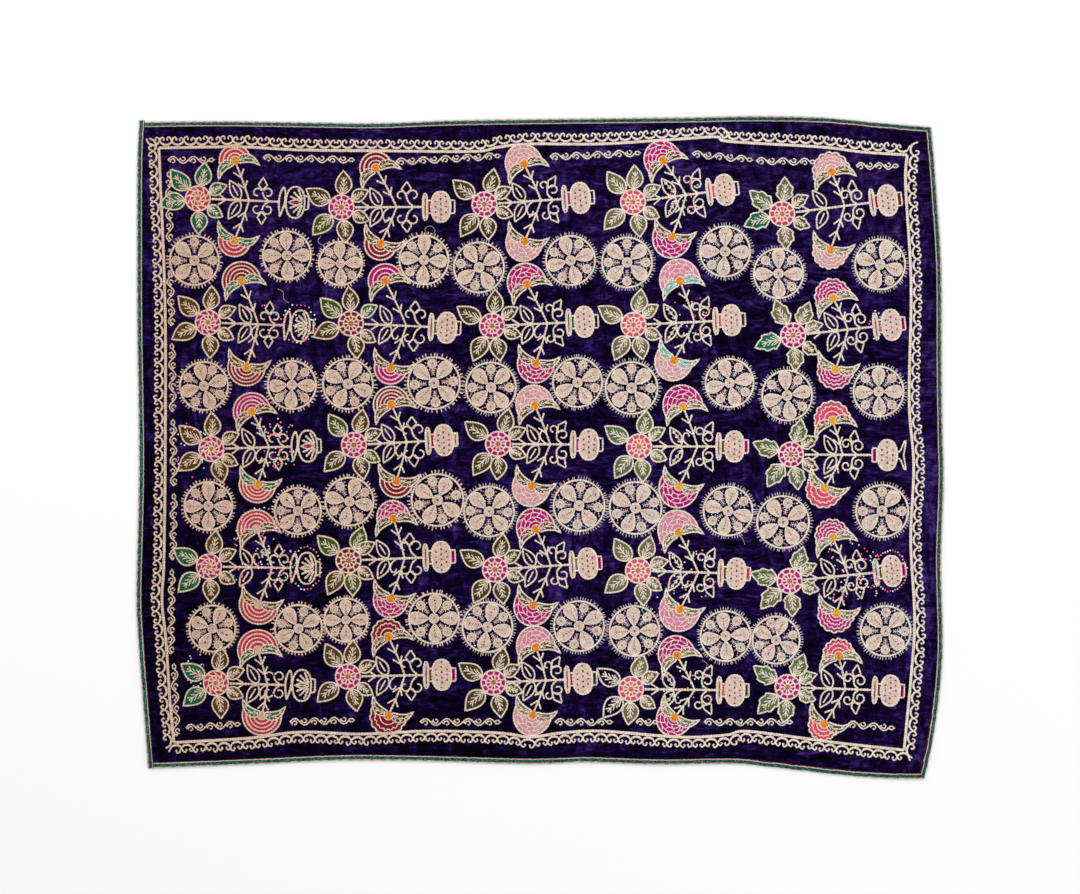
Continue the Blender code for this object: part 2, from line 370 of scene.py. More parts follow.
stripes = ((MIDDLE_FROM, middle), (INNER_FROM, linear(222, 194, 180)), (SEAM_FROM, linear(78, 16, 20)))
for start, stripe in stripes:
    color = blend_colors(tree, reckon(tree, "GREATER_THAN", side, start), color, stripe)
wear = spread(tree, add_noise(tree, tape_map, 700.0, stretch=woven), 0.3, 0.7, 0.35, 0.0)
color = blend_colors(tree, wear, color, linear(30, 20, 26))
tree.links.new(color, shader.inputs["Base Color"])
ribs = reckon(tree, "SINE", reckon(tree, "MULTIPLY", along, 2 * math.pi / RIB))
rib_bump = add_node(tree, "Bump", (("Strength", 0.5), ("Distance", 0.0004), ("Height", ribs)))
tree.links.new(rib_bump.outputs[0], shader.inputs["Normal"])

for side_name in ("left", "top", "right", "bottom"):
    node = "tape_" + side_name
    tape = add_copy(node, node + "_woven", 1)
    upright = side_name in ("left", "right")
    lengthways, sideways = places_of(tape.data)[:, [1, 0] if upright else [0, 1]].T
    outward = -1 if side_name in ("left", "bottom") else 1
    # The tape's outer edge, from which the pattern's place across the tape is measured
    stations = np.linspace(lengthways.min(), lengthways.max(), EDGE_STATIONS)
    reach = 1.6 * (stations[1] - stations[0])
    near = np.abs(lengthways[None] - stations[:, None]) < reach
    edge = np.where(near, (sideways * outward)[None], OFF_TAPE).max(1)
    known = edge > OFF_TAPE
    inwards = (np.interp(lengthways, stations[known], edge[known]) - sideways * outward) / TAPE_WIDE
    corners = np.empty(len(tape.data.loops), np.int32)
    tape.data.loops.foreach_get("vertex_index", corners)
    spots = np.stack((lengthways[corners], np.clip(inwards[corners], 0, 1)), 1)
    tape.data.uv_layers.new(name="along").data.foreach_set("uv", spots.astype(np.float32).ravel())
    tape.data.shade_smooth()
    tape.data.materials.append(tape_finish)
    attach(tape, "root")
    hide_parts(node)
    low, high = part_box(node)

# Embroidery thread
# All of the needlework is rows of chain stitch in a thick soft thread. Outlines are worked as open
# double-stranded loops, and fillings and veins as finer closed stitches laid row against row.
rng = np.random.default_rng(41)
SUNK = 0.0004                        # how far a stitch's edges lie below its seat in the pile
SIZE_SPREAD = 0.07
SHADE_SPREAD = 0.06


def select_where(piece, wanted):
    """In edit mode, selects the points whose places pass a test, and nothing else."""
    work = bmesh.from_edit_mesh(piece.data)
    for vertex in work.verts:
        vertex.select_set(False)
    for vertex in work.verts:
        if wanted(vertex.co):
            vertex.select_set(True)
    bmesh.update_edit_mesh(piece.data)


def model_stitch(strands, stations):
    """One stitch a unit long and wide: its strands stand up from its edges, and it narrows at its ends.

    Each station is its place along the stitch, its width and its height.
    """
    bpy.ops.object.select_all(action="DESELECT")
    cells = len(stations) - 1
    bpy.ops.mesh.primitive_grid_add(x_subdivisions=cells, y_subdivisions=2 * strands, size=1.0)
    stitch = bpy.context.object
    bpy.ops.object.mode_set(mode="EDIT")
    ridge = [(-0.5 + (2 * k + 1) / (2 * strands)) for k in range(strands)]
    select_where(stitch, lambda place: any(abs(place.y - r) < 0.01 for r in ridge))
    bpy.ops.transform.translate(value=(0, 0, 1.0))
    if strands > 1:
        select_where(stitch, lambda place: abs(place.y) < 0.01)
        bpy.ops.transform.translate(value=(0, 0, 0.40))
    for k, (_along, wide, tall) in enumerate(stations):
        old = k / cells - 0.5
        select_where(stitch, lambda place: abs(place.x - old) < 0.01)
        bpy.ops.transform.resize(value=(1, wide, tall), center_override=(0, 0, 0))
    bpy.ops.object.mode_set(mode="OBJECT")
    place = places_of(stitch.data)
    column = np.rint((place[:, 0] + 0.5) * cells).astype(int)
    place[:, 0] = np.array([along for along, _wide, _tall in stations])[column]
    faces = np.array([list(face.vertices) for face in stitch.data.polygons])
    bpy.data.objects.remove(stitch, do_unlink=True)
    return place, faces


STITCHES = {
    "chain": model_stitch(2, ((0.0, 0.55, 0.55), (0.45, 1.0, 1.0), (1.08, 0.62, 0.62))),
    "plain": model_stitch(1, ((0.0, 0.60, 0.50), (0.50, 1.0, 1.0), (1.05, 0.66, 0.55))),
    "close": model_stitch(1, ((0.0, 0.86, 0.62), (0.50, 1.0, 1.0), (1.04, 0.88, 0.66))),
}
# name: stitch, width, height, length, seat above the velvet, in metres
ROWS = {
    "outline": ("chain", 0.0046, 0.0014, 0.0064, 0.0004),
    "line": ("plain", 0.0040, 0.0013, 0.0058, 0.0004),
    "vein": ("plain", 0.0034, 0.0011, 0.0052, 0.0008),
    "filling": ("close", 0.0040, 0.0009, 0.0070, 0.0002),
    "fringe": ("plain", 0.0025, 0.0009, 0.0058, 0.0003),
    "loose": ("plain", 0.0012, 0.0012, 0.0040, 0.0006),
    "knot": ("plain", 0.0036, 0.0014, 0.0030, 0.0009),
}
# slot: its threads and their colours
DYED = {
    "cream_thread": {
        "cream": (255, 238, 218), "pale": (238, 212, 196), "silver": (206, 196, 200),
    },
    "flower_thread": {
        "magenta": (192, 10, 128), "dark red": (140, 16, 44), "rose": (212, 58, 88),
        "coral": (234, 82, 116), "pale pink": (230, 166, 178), "pink": (232, 140, 172),
        "orange": (255, 152, 22), "yellow": (250, 182, 44),
    },
    "leaf_thread": {
        "teal": (16, 116, 82), "grass": (66, 100, 24), "olive": (94, 72, 26),
        "dark olive": (76, 68, 30), "sage": (122, 118, 84), "leaf green": (100, 122, 78),
        "cyan": (92, 190, 188), "navy": (36, 62, 120),
    },
}
THREAD = {name: (slot, linear(*color)) for slot, dyes in DYED.items() for name, color in dyes.items()}
sewn = []                            # rows of the piece in hand


def sew(path, color, row="outline", closed=False, scale=1.0):
    """Adds a row of stitches along a path on the cloth."""
    sewn.append((np.asarray(path), *THREAD[color], row, closed, scale))


def finish_embroidery(name):
    """Joins the rows in hand into pieces that lie on the velvet, one for each slot."""
    for slot_name in sorted({row[1] for row in sewn}):
        join_rows(name + "_" + slot_name, [row for row in sewn if row[1] == slot_name])
    sewn.clear()


PAINTED_EDGE_SHADE = 0.70                    # painted shade: how dark a thread's edges are painted beside its ridge, where shade falls between rows
BROWNER_LEFT = np.array((0.92, 0.86, 0.82))  # how much darker and browner the threads are towards the left edge
BROWNER_LEFT_FROM, BROWNER_LEFT_TO = 0.25, -0.75
SHORTEST_ROW = 0.001
EITHER_SIDE = 0.3                    # share of a stitch either side over which its row's way is taken


def run_of(path):
    """How far along a path each of its points is."""
    return np.concatenate(([0.0], np.cumsum(np.abs(np.diff(path)))))


def along_path(path, run, distance, closed=False):
    """Places at distances along a path; run is how far along each of its points is."""
    distance = distance % run[-1] if closed else np.clip(distance, 0, run[-1])
    return np.interp(distance, run, path.real) + 1j * np.interp(distance, run, path.imag)


def repeated(faces, number, points):
    """The faces of a number of copies, each with so many points."""
    return (faces[None] + (np.arange(number) * points)[:, None, None]).reshape(-1, faces.shape[1])


def add_sewn(name, spots, faces, colors, finish):
    """A smooth piece made from arrays of its points, its faces and its points' colours."""
    mesh = bpy.data.meshes.new(name)
    mesh.vertices.add(len(spots))
    mesh.vertices.foreach_set("co", spots.astype(np.float32).ravel())
    mesh.loops.add(faces.size)
    mesh.loops.foreach_set("vertex_index", faces.astype(np.int32).ravel())
    mesh.polygons.add(len(faces))
    mesh.polygons.foreach_set("loop_start", np.arange(0, faces.size, faces.shape[1], dtype=np.int32))
    mesh.update(calc_edges=True)
    mesh.shade_smooth()
    colors = np.column_stack((np.clip(colors, 0, 1), np.ones(len(spots))))
    tint = mesh.attributes.new("thread", "FLOAT_COLOR", "POINT")
    tint.data.foreach_set("color", colors.astype(np.float32).ravel())
    mesh.materials.append(finish)
    piece = bpy.data.objects.new(name, mesh)
    bpy.context.scene.collection.objects.link(piece)
    return piece


def join_rows(name, rows):
    """One piece made of rows of stitches."""
    all_places, all_heights, all_colors, all_maps, all_faces = [], [], [], [], []
    count = 0
    for path, _slot, color, row, closed, scale in rows:
        kind, wide, tall, pitch, seat = ROWS[row]
        shape, faces = STITCHES[kind]
        if closed:
            path = np.append(path, path[0])
        run = run_of(path)
        if run[-1] < SHORTEST_ROW:
            continue
        number = max(1, round(run[-1] / pitch))
        long = run[-1] / number
        first = np.arange(number)[:, None]
        at = (first + shape[:, 0]) * long
        ahead, behind = (
            along_path(path, run, at + share * long, closed) for share in (EITHER_SIDE, -EITHER_SIDE)
        )
        way = ahead - behind
        way /= np.maximum(np.abs(way), 1e-9)
        size = scale * (1 + SIZE_SPREAD * rng.standard_normal((number, 1)))
        place = along_path(path, run, at, closed) + 1j * way * shape[:, 1] * wide * size
        # each stitch's own random tone, times painted shade that darkens its edges beside its ridge
        tone_and_painted_light = 1 + SHADE_SPREAD * rng.standard_normal((number, 1, 1))
        tone_and_painted_light = tone_and_painted_light * (PAINTED_EDGE_SHADE + (1 - PAINTED_EDGE_SHADE) * np.clip(shape[:, 2], 0, 1))[None, :, None]
        # the threads are darker and browner towards the left edge
        left_share = np.clip((place - BROWNER_LEFT_FROM).real / (BROWNER_LEFT_TO - BROWNER_LEFT_FROM), 0, 1)[:, :, None]
        all_places.append(place.ravel())
        all_heights.append((seat - SUNK + shape[:, 2] * (tall + SUNK) * size).ravel())
        all_colors.append((np.array(color) * tone_and_painted_light * (1 + left_share * (BROWNER_LEFT**2.2 - 1))).reshape(-1, 3))
        all_maps.append(np.stack(((first + shape[:, 0]).ravel(), np.tile(shape[:, 1], number)), 1))
        all_faces.append(repeated(faces, number, len(shape)) + count)
        count += number * len(shape)
    place, faces = np.concatenate(all_places), np.concatenate(all_faces)
    height = np.concatenate(all_heights) + face_height(place)
    spots = np.stack((place.real, place.imag, height), 1)
    piece = add_sewn(name, spots, faces, np.concatenate(all_colors), thread_finish)
    spots = np.concatenate(all_maps)[faces.ravel()]
    piece.data.uv_layers.new(name="along").data.foreach_set("uv", spots.astype(np.float32).ravel())
    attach(piece, "root")


PLY_SLANT = 0.6
PLY_TURNS = 25.0                     # radians of the plies' wave along one stitch
thread_finish = new_material(
    "embroidery thread", THREAD["cream"][1], 0.6, Sheen_Weight=0.03, Sheen_Roughness=0.4,
    Specular_IOR_Level=0.12,
)
tree, shader = inside(thread_finish)
dyed = add_node(tree, "Attribute", attribute_name="thread").outputs["Color"]
where = add_node(tree, "TexCoord").outputs["Object"]
wear = spread(tree, add_noise(tree, where, 150.0, 3.0), 0.3, 0.7, 0.86, 1.16)
ply_map = add_node(tree, "UVMap", uv_map="along").outputs[0]
ply_split = add_node(tree, "SeparateXYZ", ((0, ply_map),)).outputs
slant = reckon(tree, "ADD", ply_split["X"], reckon(tree, "MULTIPLY", ply_split["Y"], PLY_SLANT))
ply = reckon(tree, "SINE", reckon(tree, "MULTIPLY", slant, PLY_TURNS))
# painted shade in the grooves between the plies and painted highlight on their crests, times the thread's
# random wear
tone_and_painted_light = reckon(tree, "MULTIPLY", wear, spread(tree, ply, -1.0, 1.0, 0.90, 1.06))
toned = add_node(
    tree, "Mix", ((0, 1.0), (6, dyed), (7, tone_and_painted_light)), data_type="RGBA", blend_type="MULTIPLY",
)
tree.links.new(toned.outputs[2], shader.inputs["Base Color"])
ply_bump = add_node(tree, "Bump", (("Strength", 0.5), ("Distance", 0.0003), ("Height", ply)))
tree.links.new(ply_bump.outputs[0], shader.inputs["Normal"])

# Scroll border
# A cream line two rows wide frames the design, a hand's breadth in from the edge. Outside it runs a
# chain of ram's-horn scrolls: each bowl's arms cross its neighbours' and hook over into their bowls.

# Half a scroll in photograph pixels, from the foot of its bowl out and over into the next bowl
SCROLL_HALF = (
    2.5j, 2.6 + 2.9j, 4.6 + 4.5j, 6.1 + 6.9j, 7.0 + 8.9j, 8.4 + 10.2j, 10.0 + 9.8j, 10.7 + 8.4j, 9.9 + 7.0j,
)
HALF_PITCH = 6.1
# The finer second row of a bowl: how many points either side of its foot, its size and how far it is raised
BOWL_POINTS, BOWL_SIZE, BOWL_RAISED = 9, 0.86, 1.1j
LINE_APART = 0.0025
LINE_STEP = 0.002
# side: pitch of its scrolls, and how far they run beyond its line's start and end, in pixels
SCROLL_RUNS = {"top": (12.2, 11, 1), "right": (13.1, 13, 6), "bottom": (12.3, 6, 5), "left": (12.4, 4, 9)}
END_REACH = 7.4                      # where the outer arm of a chain's first and last scroll stops
# The line's stations in photograph pixels, clockwise from the top left corner
FRAME_LINE = {
    "top": (
        (159, 148), (240, 147), (300, 150), (390, 151), (475, 151.5), (497, 147.5), (530, 144),
        (600, 144), (680, 139), (717, 137), (729, 141.5), (820, 147), (862, 152), (907, 155),
    ),
    "right": (
        (907, 155), (905.5, 185), (911, 285), (909, 400), (913.5, 465), (910.5, 540), (914.5, 615),
        (912, 665), (904, 750),
    ),
    "bottom": (
        (904, 750), (840, 743), (780, 735), (743, 731), (725, 735), (680, 737), (602, 731), (560, 733),
        (530, 737), (500, 733), (430, 731), (360, 734), (300, 732), (250, 738), (174, 742.5),
    ),
    "left": (
        (174, 742.5), (170, 700), (166, 640), (162, 600), (164, 560), (165.4, 440), (165, 300), (159, 148),
    ),
}


def spline(*stops, steps=8):
    """A smooth open line through stops."""
    stops = np.array(stops, complex)
    ends = np.concatenate(([2 * stops[0] - stops[1]], stops, [2 * stops[-1] - stops[-2]]))
    t = np.linspace(0, 1, steps, endpoint=False)[:, None]
    a, b, c, d = ends[:-3], ends[1:-2], ends[2:-1], ends[3:]
    parts = 0.5 * (2 * b + (c - a) * t + (2 * a - 5 * b + 4 * c - d) * t**2 + (3 * b - 3 * c + d - a) * t**3)
    return np.append(parts.T.ravel(), stops[-1])


def even(path, gap, closed=True):
    """The same line with its points evenly apart."""
    if closed:
        path = np.append(path, path[0])
    run = run_of(path)
    count = max(4, int(run[-1] / gap))
    return along_path(path, run, np.linspace(0, run[-1], count, endpoint=not closed))


scroll_half = spline(*SCROLL_HALF, steps=5)
scroll = np.concatenate((-np.conj(scroll_half[::-1]), scroll_half[1:]))
foot = len(scroll) // 2
bowl = scroll[foot - BOWL_POINTS:foot + BOWL_POINTS + 1] * BOWL_SIZE + BOWL_RAISED
for side_name, stations in FRAME_LINE.items():
    line = even(spline(*(on_cloth(*station) for station in stations)), LINE_STEP, closed=False)
    way = np.gradient(line)
    way /= np.abs(way)
    for share in (-0.5, 0.5):
        sew(line + 1j * way * share * LINE_APART, "cream", "line", scale=0.94)
    run = run_of(line)
    pitch, before, after = (PIXEL * value for value in SCROLL_RUNS[side_name])
    count = round((run[-1] + before + after) / pitch)
    pitch = (run[-1] + before + after) / count
    for k in range(count):
        middle = (k + 0.5 + 0.03 * rng.standard_normal()) * pitch - before
        tall = PIXEL * (1 + 0.05 * rng.standard_normal())
        for shape, size in ((scroll, 1.05), (bowl, 0.7)):
            if k in (0, count - 1):
                shape = shape[shape.real * (-1 if k == 0 else 1) < END_REACH]
            at = middle + shape.real * pitch / HALF_PITCH / 2
            place = along_path(line, run, at) + 1j * along_path(way, run, at) * shape.imag * tall
            place += (at - np.clip(at, 0, run[-1])) * np.where(at < 0, way[0], way[-1])
            sew(place, "cream", "line", scale=size)
    finish_embroidery("border_" + side_name)

# Wheels
# Forty openwork wheels in cream: a fringed ring, four round-ended petals and four buttons on fringed
# stalks between them, with a small coloured knot on the hub and on each button.

# x, y, radius and turn of the petals, in photograph pixels and degrees
WHEELS = (
    (194.5, 260.5, 25.5, 45), (287, 255.5, 25, 0), (340.5, 263.5, 22.5, 0), (424, 260, 25.5, -4),
    (479, 267.5, 26, 33), (570.5, 260.5, 25.5, 18), (627, 262.5, 26, 45), (725, 251.5, 26, 0),
    (778.5, 273.5, 25.7, 0), (880, 264.5, 26, -15),
    (204, 386, 25, 17), (292, 385, 25, 0), (348, 384, 26, -24), (434, 383, 27, 50),
    (491, 387.5, 26, 45), (577.5, 382.5, 25.5, 28), (631.5, 388, 27, 45), (729.5, 383, 25, 15),
    (787, 395.5, 26, 10), (878.5, 391.5, 26, 0),
    (208.5, 506, 25, 0), (298, 511, 24, 44), (349.5, 501.5, 25, -14), (437.5, 500, 27, -30),
    (489, 511.5, 26, 43), (579, 505.5, 26.5, 40), (635.5, 508, 27, -28), (728, 511, 25.5, -13),
    (783, 522, 27, 31), (882, 511, 27, 45),
    (212.5, 628.5, 24, -25), (298.5, 628.5, 24.5, 28), (346, 620, 22.5, 2), (434, 618.5, 26, 0),
    (487.5, 627, 26, -12), (579, 626, 26, 30), (634.5, 631, 26, 3), (725.5, 636, 26, 8),
    (776, 640, 24.5, -28), (885.5, 631, 26, 44),
)
KNOTS = ("rose", "teal", "coral", "navy", "magenta", "cyan")
# A wheel's measures in its own pixels, when it is 25.5 across from its middle
WHEEL_RADIUS, RING = 25.5, 24.5
FRINGE_FROM, FRINGE_TO = 25.4, 28.3
HUB = 4.6
PETAL_FOOT, PETAL_TIP, PETAL_WIDE = 5.4, 23.2, 12.0
BUTTON_OUT, BUTTON = 18.4, 4.1
BUTTON_FRINGE = np.array([5.1, 7.1])
BUTTON_TICKS = (45, 80, 115, 150, 210, 245, 280, 315)
KNOT_HALF = 0.65
PETAL_MOST = 0.438                   # the most that the curve of a petal's edge reaches before it is sized
STALK_FROM, STALK_TO = 7.6, 14.0
STALK_TICKS, STALK_TICK_APART = 4, 1.9
TICKS = 62
WIDE_TICKS = 46
SILVER_FROM = 440                    # from this far right the fringes are greyer and finer


# Each motif is drawn flat in the photograph's pixels, one pixel being 2.1 mm of cloth, and a hoop carries
# it to its place: where its middle goes, how it is turned and sized, and whether it is flipped.
def heading(degrees):
    """A step of one in a direction."""
    return np.exp(1j * np.radians(degrees))


def hoop(x, y, turned=0.0):
    """A place on the cloth to draw at, turned in degrees."""
    return on_cloth(x, y), PIXEL * heading(turned), False


def drawn(at, shape):
    """A shape's places on the cloth."""
    middle, way, flipped = at
    shape = np.asarray(shape, complex)
    return middle + way * (np.conj(shape) if flipped else shape)


def shifted(at, move, turned=0.0, flipped=False):
    """A hoop set within another."""
    _middle, way, was_flipped = at
    turn = heading(-turned if was_flipped else turned)
    return complex(drawn(at, [move])[0]), way * turn, was_flipped != flipped


def sew_line(at, shape, scale=1.0, closed=False):
    """A plain cream row along a shape drawn at a hoop."""
    sew(drawn(at, shape), "cream", "line", closed, scale)


def sew_vein(at, shape, scale=1.0, closed=False):
    """A thin cream row along a shape drawn at a hoop."""
    sew(drawn(at, shape), "cream", "vein", closed, scale)


def arc(middle, radius, start, end, steps):
    """Part of a circle, in degrees."""
    return middle + radius * heading(np.linspace(start, end, steps))


RING_STEP = 0.0012
LEAST_RING = 0.006
LEAST_POINTS = 5
NEAR = 0.95                          # a point nearer the outer ring than this share of the depth is left out


def inside_ring(ring, depth):
    """A ring drawn a depth inside another, or nothing where there is no room for it."""
    ring = even(ring, RING_STEP)
    way = np.roll(ring, -1) - np.roll(ring, 1)
    area = np.sum(ring.real * np.roll(ring.imag, -1) - np.roll(ring.real, -1) * ring.imag)
    inward = 1j * way / np.abs(way) * (1 if area > 0 else -1)
    moved = ring + inward * depth
    nearest = np.abs(moved[:, None] - ring[None]).min(1)
    kept = moved[nearest > depth * NEAR]
    return kept if len(kept) > LEAST_POINTS else None


def fill(ring, color, first=0.0030, gap=0.0030):
    """Rows of filling inside an outline, each within the last."""
    depth = first
    while True:
        inner = inside_ring(ring, depth)
        if inner is None or run_of(np.append(inner, inner[0]))[-1] < LEAST_RING:
            return
        sew(inner, color, "filling", closed=True)
        depth += gap


def round_petal(inner, outer, wide):
    """A petal along +x with a narrow foot and a round end."""
    t = np.linspace(0, 1, 13)
    half = wide / 2 * t**0.9 * (1 - t) ** 0.42 / PETAL_MOST
    middle = inner + (outer - inner) * t
    return np.concatenate((middle + 1j * half, (middle - 1j * half)[-2:0:-1]))


def knot(at, place, color, size=1.0):
    """One raised stitch."""
    sew(drawn(at, (place - KNOT_HALF * size, place + KNOT_HALF * size)), color, "knot", scale=size)


for k, (x, y, radius, turned) in enumerate(WHEELS):
    middle, way, _flipped = hoop(x, y, turned)
    at = (middle, way * radius / WHEEL_RADIUS, False)
    fringe, ticks, tick_size = ("silver", TICKS, 1.0) if x > SILVER_FROM else ("pale", WIDE_TICKS, 1.35)
    sew_line(at, arc(0, RING, 0, 352, 40), 1.2, closed=True)
    for tick in range(ticks):
        out = heading(360 * (tick + 0.2 * rng.standard_normal()) / ticks)
        reach = FRINGE_TO + 0.4 * rng.standard_normal()
        sew(drawn(at, (FRINGE_FROM * out, reach * out)), fringe, "fringe", scale=tick_size)
    hub = arc(0, HUB, 0, 330, 12)
    sew_line(at, hub, 0.8, closed=True)
    fill(drawn(at, hub), "pale")
    knot(at, 0, KNOTS[rng.integers(len(KNOTS))])
    for quarter in range(4):
        petal_at = shifted(at, 0, 90 * quarter + 2.5 * rng.standard_normal())
        petal = round_petal(PETAL_FOOT, PETAL_TIP + 0.3 * rng.standard_normal(), PETAL_WIDE)
        sew_line(petal_at, petal, 0.85, closed=True)
        fill(drawn(petal_at, petal), "pale", first=0.0026)
        button_at = shifted(at, 0, 90 * quarter + 45)
        button = arc(BUTTON_OUT, BUTTON, 0, 330, 12)
        sew_vein(button_at, button, closed=True)
        fill(drawn(button_at, button), "pale")
        knot(button_at, BUTTON_OUT, KNOTS[rng.integers(len(KNOTS))])
        sew(drawn(button_at, (STALK_FROM, STALK_TO)), "pale", "line", scale=0.8)
        for angle in BUTTON_TICKS:
            sew(drawn(button_at, BUTTON_OUT + BUTTON_FRINGE * heading(angle)), fringe, "fringe")
        for side in (-1, 1):
            for tick in range(STALK_TICKS):
                foot = STALK_FROM + STALK_TICK_APART * tick + 0.8j * side
                sew(drawn(button_at, (foot, foot + 0.4 + (0.8 + 0.3 * tick) * 1j * side)), fringe, "fringe")
    finish_embroidery("wheel_%02d" % (k + 1))

# Plants
# Twenty-five flowering plants lie in five columns, each growing out of a vase at its right-hand end:
# a rosette with six leaves, a stalk with curls, and a bell flower on a side stalk above and below.

# From left to right and then down: rosette x, y, vase rim x, y, upper heart x, y and radius of its bell,
# and lower heart x, y and radius of its bell, in photograph pixels
PLANTS = (
    (198, 198.5, 282, 202, 235, 160.5, 15.5, 234.5, 240.5, 16),
    (341.5, 207.5, 425, 207, 376, 168, 16, 380.5, 244, 16),
    (484.5, 204.5, 564.5, 199, 524, 164, 20, 524.5, 241.5, 20),
    (633, 202, 709, 192, 663, 160.5, 20, 672, 237, 21),
    (782, 214, 872, 202.5, 831.5, 172, 19.5, 830.5, 250, 18.5),
    (208, 322.5, 287, 325.5, 241.5, 281, 19, 246.5, 367, 18.5),
    (351, 323.5, 431, 327, 385.5, 281, 17, 390.5, 368, 16),
    (492, 326, 568.5, 322.5, 527, 284, 21, 536, 363, 20),
    (633.5, 325, 715.5, 321, 680, 281, 22, 674, 360.5, 20.5),
    (793, 335.5, 875.5, 326.5, 833, 298, 19, 835.5, 369.5, 19),
    (211.5, 449, 294.5, 446.5, 252, 411.5, 18.5, 257.5, 484.5, 18),
    (354, 445, 428, 441, 391.5, 404.5, 18, 396.5, 481, 16.5),
    (498, 444, 573, 444.5, 535, 405.5, 20.5, 531.5, 486, 20.5),
    (639, 446.5, 718.5, 446.5, 683, 406.5, 21.5, 679, 486.5, 21.5),
    (791, 454.5, 874, 455, 832.5, 420.5, 19, 824.5, 488.5, 19),
    (209, 566.5, 293.5, 568, 256.5, 529, 19, 259, 604.5, 19.5),
    (348.5, 560.5, 425.5, 557.5, 393.5, 518.5, 18, 391, 598.5, 19),
    (495, 569.5, 572, 564.5, 536, 529, 21, 533.5, 605, 21),
    (638, 570.5, 720.5, 573, 678.5, 532, 22, 680, 609.5, 22),
    (789.5, 581, 876, 572.5, 832.5, 537.5, 18, 836, 613, 19),
    (216, 683, 288.5, 685, 258, 650, 20, 262, 715.5, 19.5),
    (348, 676.5, 426, 675, 388.5, 636.5, 17.5, 388.5, 715.5, 19),
    (493.5, 682.5, 567, 679.5, 536, 647, 21, 532.5, 715, 20.5),
    (631, 689, 719, 690, 677, 655.5, 20, 674.5, 717.5, 19),
    (787.5, 687, 874.5, 690, 838.5, 655.5, 16.5, 824, 724, 16),
)
# The angles in degrees of each plant's six leaves, from the upper left one on clockwise
LEAVES = (
    (133, 79, 24, -37, -90, -170), (152, 87, 32, -25, -84, -136), (142, 75, 31, -21, -84, -126),
    (130, 88, 30, -31, -79, -136), (144, 86, 35, -25, -84, -162),
    (138, 84, 28, -33, -87, -155), (140, 94, 34, -37, -80, -160), (151, 85, 35, -18, -77, -118),
    (152, 78, 39, -24, -75, -118), (116, 64, 21, -37, -87, -162),
    (144, 90, 29, -31, -72, -147), (129, 76, 27, -32, -74, -138), (146, 73, 29, -24, -92, -128),
    (149, 78, 35, -25, -84, -127), (162, 74, 33, -28, -79, -126),
    (153, 79, 31, -32, -88, -140), (141, 67, 34, -36, -83, -121), (151, 77, 35, -18, -76, -122),
    (126, 70, 18, -40, -81, -146), (168, 68, 32, -17, -86, -136),
    (151, 82, 26, -27, -82, -145), (124, 82, 26, -36, -76, -140), (151, 74, 32, -18, -78, -135),
    (149, 71, 30, -38, -95, -134), (148, 64, 24, -25, -97, -138),
)
LEAF_LONG = (40, 37, 32, 31, 36, 40)
LEAF_WIDE = (17, 16, 12, 12, 16, 17)
LEAF_BENT = (1.6, -1.2, 1.2, -0.8, 1.4, -1.4)
LEAF_FOOT = 12.8                     # how far a leaf's foot is from the rosette's middle
LEAF_LOBES = (0, 0, 0, 0, 3)         # on each side of a leaf, in each column
PAIRED_LEAF = (1j, -11 + 19.5j, 10.5)            # its foot, tip and width
PAIRED_RIB = (-2 + 4.5j, -8 + 14.5j)
LEAF_MOST = 0.26                     # the most that the curve of a leaf's edge reaches before it is sized
# The dyes that the tables of plants and vases name by one mark each
DYE_MARKS = {
    "A": "orange", "B": "cyan", "C": "coral", "D": "dark olive", "E": "rose", "G": "grass", "I": "pink",
    "K": "pale pink", "L": "leaf green", "M": "magenta", "O": "olive", "P": "pale", "R": "dark red",
    "S": "sage", "T": "teal", "Y": "yellow", "-": None,
}
# Each plant's leaves, rosette, upper and lower bell, upper and lower sepals, and hearts
DYES = (
    "TTTTTT E EE TT Y", "DODDOG M RR DD A", "DDDDDD M KK DD A", "SSSSSS C MM OO A", "LSOOST E KK OS A",
    "OOOOOO M RR TO Y", "GDTDDD R MM DD A", "DDDDDD M MM DD A", "SSSSSS C IK BB A", "SSSOST M MM SS Y",
    "OOOOOO M ME OT Y", "GODGDD M RR OD A", "DDDDDD M KK DD A", "LLLSLL C MM SS Y", "LLOOLL M CC OS Y",
    "TOOOOT M EE OO -", "GGDOGO R MM DD A", "DDDDDD M MM OD A", "SSSSSS C II SS A", "LLSSSS M MM SS Y",
    "TOOOOT E EE TT -", "OODDOD M RR DD A", "DDDDDD M IK DS A", "-SSSS- C MM SS A", "LLLSLL M CC SO A",
)
# The kind of bell in each column, and the plants with another kind
KINDS = ("bands", "bands", "scales", "scales", "waves")
ODD_KINDS = {(2, 4): "scales", (2, 5): "waves"}
